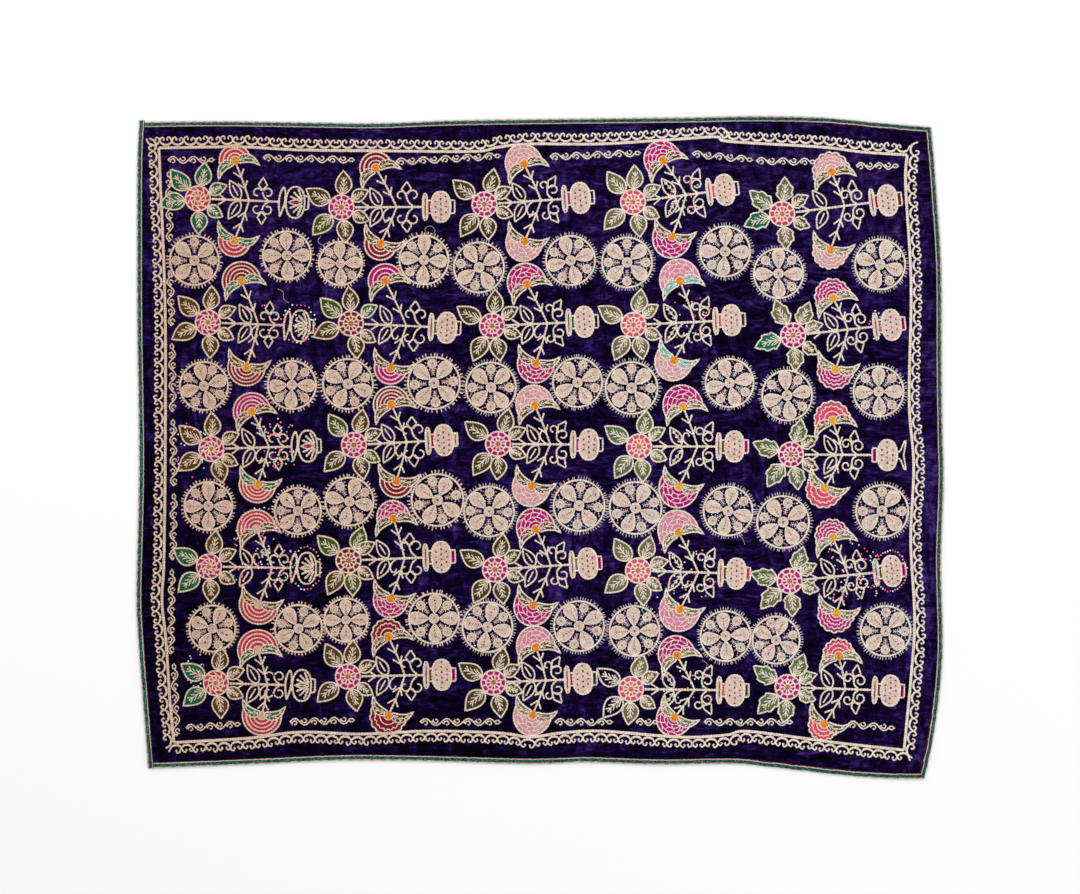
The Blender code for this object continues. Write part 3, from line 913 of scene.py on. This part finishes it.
# column: how far a curl group stands from the rim, as a share of the way to the side stalks; its stem; its
# curls, as middle, radius, start and end angle; its bud; and where the paired leaves have their foot
CURLS = {
    1: (
        0.42, (0.8j, -4 + 4j, -6 + 9j), ((-11 + 8.2j, 4.8, 25, 285), (-0.4 + 8.4j, 4.9, 160, -120)),
        (-6 + 11j, -10.4 + 16j, -5.7 + 23.5j, -1.4 + 16j), 42,
    ),
    2: (
        0.42, (0.8j, -4.5 + 5j, -6.5 + 10j, -7 + 13j),
        ((-12 + 11.5j, 4.7, 15, 275), (0.2 + 12j, 5.2, 170, -95)),
        (-7 + 12.8j, -11.6 + 18j, -6 + 25.4j, -1.4 + 18j), 39.5,
    ),
    3: (
        0.50, (0.8j, -4.5 + 5j, -5 + 10j, -4.4 + 15j),
        ((-8.3 + 15j, 4.1, 0, 270), (1 + 9.8j, 4.9, 160, -130)),
        (-4.5 + 13j, -3.4 + 19.5j, 4.6 + 23.5j, 2.8 + 13.5j), 40,
    ),
    4: (
        0.50, (0.8j, -4.5 + 5j, -5 + 10j, -4 + 16j),
        ((-8.6 + 15j, 4.3, 0, 320), (0.5 + 9.2j, 5.0, 165, -160)),
        (-4 + 16j, -2 + 20j, 5 + 25j, 4.6 + 13.5j), 42,
    ),
    5: (
        0.56, (0.8j, -4 + 4.5j, -4.6 + 9.5j), ((-10.2 + 10.8j, 5.4, -15, 385), (1.6 + 8.6j, 6.3, 175, -215)),
        (-4.4 + 12.5j, -6.6 + 17.5j, -1.6 + 25j, 2.2 + 15.5j), 44,
    ),
}
ROOT_BEYOND = {1: 14.5, 2: 18.5, 3: 17, 4: 19, 5: 14}
ROOT_LEAST = 21                      # how far from the rim the side stalks spring at least
CURL_POINTS = 22
CURL_END = (0.62, 0.62, 0.62, 0.62, 0.36)        # how wide a curl ends for its start, in each column
CROOK = (0.5j, -4.5 + 4.5j, -6 + 9j, -4.2 + 13.4j, -0.8 + 12.8j, 0 + 10j)
CROOK_ABOVE = ((1, 4), (3, 3), (3, 4), (4, 3))   # the plants whose crook stands above the stalk
NO_CROOK = ((1, 1), (5, 1), (5, 2), (5, 3), (5, 4), (5, 5))
NO_BUD = ((1, 5),)
ROSETTE, ROSETTE_INNER = 12.3, 7.6   # radii in pixels
ROSETTE_ROWS = (2.4, 12.0, 1.45)     # its filling's least and greatest radius, and its rows' distance
SPOKES = 10
INNER_SPOKE, OUTER_SPOKE = (2.2, 7.6), (7.8, 12.0)
SPOKE_BEND = 10.8                    # degrees, in the left column
# A sepal's upper edge, lower edge and midrib, in pixels from the heart of its bell
SEPAL_UPPER = (2.6 + 0.8j, 8 + 3.2j, 14.5 + 1.6j, 19.5 - 4.5j, 21.8 - 13j)
SEPAL_LOWER = (21.8 - 13j, 16.8 - 8.2j, 9.8 - 5.2j, 2.6 - 4.0j)
SEPAL_RIB = (3.6 - 1.8j, 10 - 1.0j, 15.6 - 3.4j, 19.2 - 8.2j)
# kind of bell: how wide it is for its height, and how thick the lines across it are
BELLS = {"bands": (1.0, 1.2), "scales": (0.91, 0.78), "waves": (0.93, 1.0)}
LOBES = 8
LOBE_DEEP = 1.9
# The angle at which a band at the heart would end, and how much lower it ends for each pixel farther out
BAND_END, BAND_OPENS = 30, 2.15
BELL_FROM, BELL_APART = 4.0, 1.5     # the first row of a bell's filling and how far apart its rows are
HEART_MIDDLE = -0.4j
HEART_ROWS = ((2.9, 3.7), (1.5, 2.3))


def leaf_ring(base, tip, wide, lobes=0, bent=0):
    """A leaf's outline, from its foot to its pointed tip and back."""
    t = np.linspace(0, 1, 25 if lobes else 13)
    half = wide / 2 * t**0.8 * (1 - t) ** 1.2 / LEAF_MOST
    if lobes:
        half = half * (0.86 + 0.34 * (lobes * t % 1) ** 1.5)
    across = 1j * (tip - base) / abs(tip - base)
    middle = base + (tip - base) * t + across * bent * np.sin(math.pi * t)
    return np.concatenate((middle + across * half, (middle - across * half)[-2:0:-1]))


def sew_veins(at, midrib, long, pairs, size, open_wide=34):
    """A midrib with pairs of slanting veins, in single rows."""
    sew_vein(at, midrib, size)
    for share in np.linspace(0, 0.78, pairs):
        station = int(share * (len(midrib) - 1))
        way = midrib[station + 1] - midrib[station]
        for side in (-open_wide, open_wide):
            vein = (1 - 0.45 * share) * long * way / abs(way) * heading(side)
            sew_vein(at, (midrib[station], midrib[station] + vein), size)


def sew_leaf(at, base, tip, wide, color, lobes, bent):
    """A leaf with a cream outline, a coloured filling and cream veins."""
    ring = leaf_ring(base, tip, wide, lobes, bent)
    sew_line(at, ring, 1.05, closed=True)
    if color:
        fill(drawn(at, ring), color, first=0.0028)
    t = np.linspace(0.03, 0.72, 12)
    rib = base + (tip - base) * t + 1j * (tip - base) / abs(tip - base) * bent * np.sin(math.pi * t)
    sew_veins(at, rib, long=0.31 * abs(tip - base), pairs=4, size=0.88)


def sew_rosette(at, color, column):
    """A round flower: coloured rings under cream spokes, curved in the left column and straight elsewhere."""
    for radius in np.arange(*ROSETTE_ROWS):
        sew(drawn(at, arc(0, radius, 0, 345, 24)), color, "filling", closed=True)
    sew_line(at, arc(0, ROSETTE, 0, 350, 30), 1.1, closed=True)
    sew_vein(at, arc(0, ROSETTE_INNER, 0, 350, 20), 1.2, closed=True)
    bend = SPOKE_BEND if column == 1 else 0
    for spoke in range(SPOKES):
        inner, outer = (
            360 * (spoke + shift + 0.06 * rng.standard_normal()) / SPOKES for shift in (0, 0.5)
        )
        for (start, stop), angle, lean in ((INNER_SPOKE, inner, 2 * bend), (OUTER_SPOKE, outer, bend)):
            sew_vein(at, (start * heading(angle - lean), stop * heading(angle + lean)), 1.25)
    sew(drawn(at, arc(0, 1.1, 0, 300, 6)), "orange", "vein", closed=True)


def sew_sepal(at, color):
    """One drooping sepal of a bell flower, on the side of +x."""
    ring = np.concatenate((spline(*SEPAL_UPPER, steps=4), spline(*SEPAL_LOWER, steps=4)[1:]))
    sew_line(at, ring, 1.05, closed=True)
    fill(drawn(at, ring), color, first=0.0028)
    sew_veins(at, spline(*SEPAL_RIB, steps=4), long=6.0, pairs=3, size=0.72, open_wide=20)


def narrowed(shape, kind):
    """A shape made as narrow as its kind of bell."""
    return BELLS[kind][0] * shape.real + 1j * shape.imag


def half_round(reach, kind, lobes=0):
    """A bell's band: an arc that opens wider the farther out it lies, with or without small lobes."""
    end = BAND_END - BAND_OPENS * reach
    angle = np.linspace(end, 180 - end, 73 if lobes else 26)
    share = np.linspace(0, 1, len(angle))
    wave = LOBE_DEEP * (np.abs(np.sin(math.pi * lobes * share)) - 0.6) if lobes else 0
    return narrowed((reach + wave) * heading(angle), kind)


def sew_bell(at, radius, color, sepal, heart, kind):
    """A bell flower opening along +y from its heart: a half-round of coloured bands and two sepals."""
    for reach in np.arange(BELL_FROM, radius - 0.8, BELL_APART):
        sew(drawn(at, half_round(reach, kind)), color, "filling")
    shares = {
        "bands": (0.47, 0.74) if radius < 17.6 else (0.42, 0.62, 0.81),
        "scales": (0.38, 0.58, 0.79),
        "waves": (0.48, 0.75) if color in ("coral", "dark red") else (0.40, 0.60, 0.80),
    }[kind]
    size = BELLS[kind][1]
    lobes = LOBES if kind == "waves" else 0
    for share in shares:
        sew_vein(at, half_round(share * radius, kind, lobes if share > 0.5 else 0), size)
    sew_line(at, half_round(radius, kind, lobes), 1.05)
    if kind == "scales":
        for k, (inner, outer) in enumerate(zip(shares, (*shares[1:], 1.0))):
            cells = 4 + k
            for cell in range(cells):
                angle = 8 + 164 * (cell + 0.5) / cells
                lean = (7 + 3 * rng.standard_normal()) * (-1) ** k
                ends = radius * np.array([inner, outer]) * heading(angle + np.array([-lean, lean]))
                sew_vein(at, narrowed(ends, kind), size)
    for flipped in (False, True):
        sew_sepal(shifted(at, 0, 180 if flipped else 0, flipped), sepal)
    egg = heading(np.linspace(0, 330, 12))
    egg = egg.real * (1 + 0.32 * egg.imag) + 1j * egg.imag
    for wide, high in HEART_ROWS:
        ring = HEART_MIDDLE + wide * egg.real + 1j * high * egg.imag
        sew(drawn(at, ring), heart or "pale", "vein", closed=True, scale=1.2)
    sew(drawn(at, (-1.6j, 1.0j)), heart or "pale", "vein", scale=1.2)
    sew_vein(at, arc(HEART_MIDDLE, 4.7, -20, 200, 10), 0.9)


def curl(middle, radius, start, end, tightness):
    """A spiral that ends tightness times as wide as it starts."""
    angle = np.linspace(start, end, CURL_POINTS)
    return middle + radius * np.linspace(1.0, tightness, CURL_POINTS) * heading(angle)


def sew_curls(at, root, length, plant, crook_side):
    """The curls, bud and paired leaf on one side of a stalk, with its crook if this is the side for it."""
    column = plant[0]
    share, stem, curls, bud, leaf_foot = CURLS[column]
    group = shifted(at, length - share * (length - root))
    sew_line(group, spline(*stem), 1.05)
    for middle, radius, start, end in curls:
        sew_line(group, curl(middle, radius, start, end, CURL_END[column - 1]), 0.95)
    if plant not in NO_BUD:
        sew_line(group, even(np.array(bud), 0.5), 0.95, closed=True)
    if crook_side and plant not in NO_CROOK:
        sew_line(shifted(at, leaf_foot + 8), spline(*CROOK), 0.95)
    leaf = shifted(at, leaf_foot)
    sew_line(leaf, leaf_ring(*PAIRED_LEAF), closed=True)
    if column == 4:
        sew_veins(leaf, 0.3 + 4j + (-9 + 12.5j) * np.linspace(0, 1, 12), long=4.0, pairs=3, size=0.8)
    else:
        sew_vein(leaf, PAIRED_RIB, 1.1)


def barrel(wide, high):
    """A barrel's outline round the origin, from half its width and height."""
    angle = np.linspace(0, 2 * math.pi, 36, endpoint=False)
    return wide * np.sign(np.cos(angle)) * np.abs(np.cos(angle)) ** 0.8 + 1j * high * np.sin(angle)


# An open vase's foot, and the angles of its petals, in pixels and degrees
OPEN_FOOT = (22.4 + 7.0j, 26.6 + 6.2j, 26.6 - 6.2j, 22.4 - 7.0j)
OPEN_PETALS = (156, 204, 134, 226, 112, 248)


def sew_open_vase(at, petal):
    """An outlined vase with a fan of lotus petals in its body."""
    sew_line(at, leaf_ring(1.4 + 15j, -1.6 - 15j, 6), 1.15, closed=True)
    sew(drawn(at, 13.4 + barrel(9.4, 15.6)), "cream", closed=True)
    for side in (-1, 1):
        sew_line(at, (2.2 + 4j * side, 5 + 5.5j * side))
    sew_line(at, OPEN_FOOT, 1.1)
    for angle in OPEN_PETALS:
        sew(drawn(at, 21.4 + np.array([2.5, 14.5]) * heading(angle)), "cream", scale=1.1)
    sew_line(at, leaf_ring(20.5, 6.2, 5.2), 0.85, closed=True)
    sew(drawn(at, (17.5, 8.5)), petal or "cream", "filling")


def sew_block(at, x, wide, high, color):
    """A block with square corners, filled or open."""
    corners = np.array([-wide - 1j * high, wide - 1j * high, wide + 1j * high, -wide + 1j * high]) / 2
    ring = even(drawn(at, x + corners), RING_STEP)
    sew(ring, "cream", "line", closed=True)
    if color:
        fill(ring, color, first=0.0024, gap=0.0026)


# column: dyes of the vases' necks and of their feet from the top row down, and of their dots
VASES = {
    2: ("RGROO", "--PMM", ("dark red", "olive", "magenta")),
    3: ("MGMSM", "---MD", ("dark olive", "magenta", "dark red")),
    4: ("CCDOC", "-OMCS", ("coral", "dark olive", "magenta")),
    5: ("RSMDO", "RM-MM", ("magenta", "navy", "dark olive", "coral")),
}
VASE_BODY = (9.9, 15.2)              # half its width and half its height
BODY_X, FLIPPED_BODY_X = 15.8, 13.2
DOT_APART = 5.2
DOTS_WITHIN = (8.2, 13.2)
RIM_DASHES = (-7.5, 0.5, 7)
NECK_ROWS = (3.6, 4.8, 6.0)


def sew_full_vase(at, neck, foot, dots, flipped):
    """A filled vase with coloured knots over its body; the flipped one stands on its rim."""
    body_x = FLIPPED_BODY_X if flipped else BODY_X
    if flipped:
        sew_block(at, 0.4, 4.6, 13.7, neck)
        for side in (-1, 1):
            sew_line(at, spline(
                24 + 3j * side, 26.5 + 5j * side, 30.3 + 14j * side, 31.5 + 13j * side, 29.4, steps=5,
            ))
    else:
        t = np.linspace(0, 2 * math.pi, 28, endpoint=False)
        bar = drawn(at, 0.2 + 2.5 * np.cos(t) + 13.6j * np.sign(np.sin(t)) * np.abs(np.sin(t)) ** 0.6)
        sew(bar, "cream", "line", closed=True)
        fill(bar, "pale", first=0.0026)
        for dash in RIM_DASHES:
            sew(drawn(at, (0.2 + 1j * (dash - 1.2), 0.4 + 1j * (dash + 1.2))), dots[0], "vein", scale=0.7)
        for side in (-1, 1):
            sew_line(at, (3 + 6j * side, 6.5 + 6.6j * side))
        for x in NECK_ROWS:
            sew(drawn(at, (x + 6j, x - 6j)), neck, "filling")
        sew_block(at, 27.4, 4.6, 13.0, foot)
    body = body_x + barrel(*VASE_BODY)
    sew_line(at, body, 1.1, closed=True)
    fill(drawn(at, body), "pale")
    for i in range(3):
        for j in range(-3, 4):
            spot = DOT_APART * (i - 1 + 1j * (j + i % 2 / 2)) + 0.3 * rng.standard_normal()
            if abs(spot.real / DOTS_WITHIN[0] + 1j * spot.imag / DOTS_WITHIN[1]) < 1:
                knot(at, body_x + spot, dots[(i + 2 * j) % len(dots)], 1.2)


FORKS = ((0.30, 36, 8.5), (0.58, 38, 9.0))   # share of the way up a side stalk, opening and length
# Where a stalk starts, and how far it stops short of the rim and a side stalk of its heart
STALK_FOOT, RIM_GAP, HEART_GAP = 13.5, 2.5, 3.5
SPRIG = (27.5 + 0.5j, 20.2 + 5.4j)
for plant, (places, angles, dyes) in enumerate(zip(PLANTS, LEAVES, DYES)):
    column, row = plant % 5 + 1, plant // 5 + 1
    rosette, rim, *hearts = (complex(places[k], -places[k + 1]) for k in (0, 2, 4, 7))
    leaf_dyes, (rosette_dye,), bell_dyes, sepal_dyes, (heart,) = (
        [DYE_MARKS[mark] for mark in part] for part in dyes.split()
    )
    at_rosette = hoop(places[0], places[1])
    for dye, angle, long, wide, bent in zip(leaf_dyes, angles, LEAF_LONG, LEAF_WIDE, LEAF_BENT):
        way = heading(angle)
        sew_leaf(at_rosette, LEAF_FOOT * way, long * way, wide, dye, LEAF_LOBES[column - 1], bent)
    sew_rosette(at_rosette, rosette_dye, column)
    length = abs(rim - rosette)
    lean = math.degrees(np.angle(rim - rosette))
    at_stalk = hoop(places[0], places[1], lean)
    at_vase = hoop(places[2], places[3], lean)
    sew(drawn(at_stalk, np.linspace(STALK_FOOT, length - RIM_GAP, 12)), "cream", scale=1.2)
    along_stalk = [(place - rosette) * heading(-lean) for place in hearts]
    root = min(np.mean(along_stalk).real + ROOT_BEYOND[column], length - ROOT_LEAST)
    bells = zip((False, True), hearts, along_stalk, (places[6], places[9]), bell_dyes, sepal_dyes)
    for flipped, place, local, radius, dye, sepal in bells:
        at = shifted(at_stalk, 0, 0, flipped)
        sew_line(at, SPRIG)
        sew_curls(at, root, length, (column, row), flipped != ((column, row) in CROOK_ABOVE))
        side = local - root
        stop = side * (1 - HEART_GAP / abs(side))
        sew(drawn(at_stalk, spline(root, root + stop * 0.5 + 0.6, root + stop)), "cream")
        for share, opening, size in FORKS:
            fork = root + side * share
            for way in (-opening, opening):
                sew_line(at_stalk, (fork, fork + size * side / abs(side) * heading(way)))
        bell = hoop(place.real, -place.imag, math.degrees(np.angle(side)) + lean - 90)
        sew_bell(bell, radius, dye, sepal, heart, ODD_KINDS.get((column, row), KINDS[column - 1]))
    if column == 1:
        sew_open_vase(at_vase, "rose" if row in (1, 3) else None)
    else:
        necks, feet, dots = VASES[column]
        neck, foot = DYE_MARKS[necks[row - 1]], DYE_MARKS[feet[row - 1]]
        sew_full_vase(at_vase, neck, foot, dots, (column, row) == (5, 3))
    finish_embroidery("plant_%d_%d" % (column, row))


# Tendrils
# Between the frame line and the plants run short cream tendrils: a wavy stem with a spiral in each
# bend and a bud at its end. Each is named by where it starts and ends, in photograph pixels.
TENDRILS = (
    (168, 160, 214, 160), (263, 158, 354, 160), (396, 162, 500, 156), (550, 157, 640, 153),
    (692, 154, 752, 160), (756, 161, 815, 162), (856, 166, 898, 166),
    (170, 242, 169, 172), (172, 326, 170, 272), (173, 412, 172, 344), (174, 486, 173, 420),
    (173, 560, 174, 494), (171, 654, 172, 570), (177, 736, 174, 664),
    (186, 728, 240, 724), (290, 722, 354, 720), (420, 722, 500, 722), (555, 722, 612, 722),
    (636, 722, 658, 722), (704, 722, 792, 722), (848, 724, 894, 728),
)
BEND_LONG, BEND_TALL = 10.5, 3.4
BUD_FROM, BUD_LONG, BUD_WIDE = 5, 5.5, 3.6       # how far before the end a bud starts, and its size
for x0, y0, x1, y1 in TENDRILS:
    run = complex(x1 - x0, y0 - y1)
    at = hoop(x0, y0, math.degrees(np.angle(run)))
    tip = abs(run) - BUD_FROM
    bends = max(1, round(tip / BEND_LONG))
    long = tip / bends
    x = np.linspace(0, tip, 8 * bends)
    sew_line(at, x + 1j * BEND_TALL * np.sin(math.pi * x / long), 0.85)
    for k in range(bends):
        bend = shifted(at, long * (k + 0.5), 0, k % 2 == 1)
        spiral = curl(-1.3j, 2.9, 200 + 10 * rng.standard_normal(), -130, 0.45)
        sew_line(bend, np.concatenate(([-0.45 * long + 0.8j], spiral)), 0.8)
    sew_line(at, leaf_ring(tip, tip + BUD_LONG, BUD_WIDE), 0.8, closed=True)
finish_embroidery("tendrils")

# Loose ends
# A few ends of the embroidery thread were never trimmed. They are single plies and lie loose on the
# pile beside the motifs that they were sewn with.

# Their colour and their stops, in photograph pixels
LOOSE_ENDS = (
    ("pale", (278, 289), (283, 292), (284, 299), (289, 303)),
    ("pale", (428, 236), (425, 229), (431, 226), (435, 231), (431, 236)),
    ("olive", (577, 464), (579, 461), (583, 459)),
    ("pale", (321, 236), (318, 241), (322, 245), (327, 243)),
    ("silver", (736, 534), (742, 538), (745, 545)),
    ("pale", (588, 372), (592, 366), (597, 368)),
    ("silver", (702, 660), (707, 664), (705, 670)),
)
for dye, *stops in LOOSE_ENDS:
    sew(spline(*(on_cloth(*stop) for stop in stops)), dye, "loose")
finish_embroidery("loose_ends")

# Beads
# Tiny round glass beads in several colours, sewn on one by one. They lie scattered round a few of the
# plants, and in the wheels towards the right.
BEAD_SIZE = 0.0040
BEAD_SEAT = 0.0016                   # how far a bead's middle stands above the velvet
RING_LIKE = 0.8                      # a patch emptier than this is a ring with its beads evenly apart
WHEEL_BEADS = (0.42, 0.86)           # how far out they lie in a wheel, as shares of its radius
WHEEL_BEAD_SHARE = 0.65              # how many of their places have a bead
BEAD_COLORS = (
    linear(255, 255, 255), linear(236, 84, 160), linear(255, 244, 240), linear(255, 130, 180),
    linear(90, 235, 196), linear(255, 186, 150), linear(255, 96, 116),
)
# x, y, width and height of a patch in photograph pixels, how many beads, and how empty its middle is
BEAD_PATCHES = (
    (299, 324, 37, 41, 26, 0.86), (303, 326, 22, 30, 12, 0.5), (268, 320, 22, 36, 8, 0.3),
    (250, 545, 36, 44, 26, 0.7),
    (275, 560, 42, 46, 44, 0.3), (306, 568, 32, 44, 30, 0.9), (240, 572, 30, 20, 14, 0.2),
    (278, 430, 44, 24, 30, 0.2), (278, 458, 44, 20, 26, 0.2), (192, 448, 34, 60, 34, 0.4),
    (192, 670, 30, 40, 22, 0.3), (262, 520, 42, 26, 26, 0.85), (850, 555, 60, 34, 40, 0.2),
    (850, 590, 66, 30, 44, 0.2), (890, 571, 34, 42, 40, 0.92), (876, 571, 10, 34, 22, 0.5),
    (684, 195, 46, 40, 26, 0.1), (690, 320, 50, 50, 26, 0.1), (690, 572, 60, 60, 34, 0.1),
    (650, 560, 26, 90, 20, 0.1), (690, 690, 60, 44, 24, 0.1), (875, 326, 12, 32, 20, 0.6),
    (660, 640, 12, 90, 14, 0.1),
)
bpy.ops.object.select_all(action="DESELECT")
bpy.ops.mesh.primitive_ico_sphere_add(subdivisions=1, radius=0.5)
bead = bpy.context.object
bead_shape = places_of(bead.data) * BEAD_SIZE
bead_faces = np.array([list(face.vertices) for face in bead.data.polygons])
bpy.data.objects.remove(bead, do_unlink=True)
bead_places = []
for x, y, wide, high, count, empty in BEAD_PATCHES:
    angle = 2 * math.pi * (np.arange(count) / count if empty > RING_LIKE else rng.random(count))
    reach = np.sqrt(empty**2 + (1 - empty**2) * rng.random(count)) / 2
    spots = x + wide * reach * np.cos(angle) + 1j * (y + high * reach * np.sin(angle))
    bead_places += [on_cloth(spot.real, spot.imag) for spot in spots]
for x, y, radius, turned in WHEELS:
    if x > SILVER_FROM:
        for eighth in range(8):
            for reach in WHEEL_BEADS:
                if rng.random() < WHEEL_BEAD_SHARE:
                    spot = reach * radius * heading(turned + 22.5 + 45 * eighth)
                    bead_places.append(on_cloth(x, y) + PIXEL * spot)
bead_places = np.array(bead_places)
count = len(bead_places)
spots = np.stack((bead_places.real, bead_places.imag, face_height(bead_places) + BEAD_SEAT), 1)
spots = (spots[:, None] + bead_shape[None]).reshape(-1, 3)
bead_dyes = np.array(BEAD_COLORS)[rng.integers(len(BEAD_COLORS), size=count)]
bead_finish = new_material("glass beads", BEAD_COLORS[0], 0.2, Specular_IOR_Level=0.6)
tree, shader = inside(bead_finish)
bead_dye = add_node(tree, "Attribute", attribute_name="thread")
tree.links.new(bead_dye.outputs["Color"], shader.inputs["Base Color"])
faces = repeated(bead_faces, count, len(bead_shape))
beads = add_sewn("beads", spots, faces, np.repeat(bead_dyes, len(bead_shape), 0), bead_finish)
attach(beads, "root")
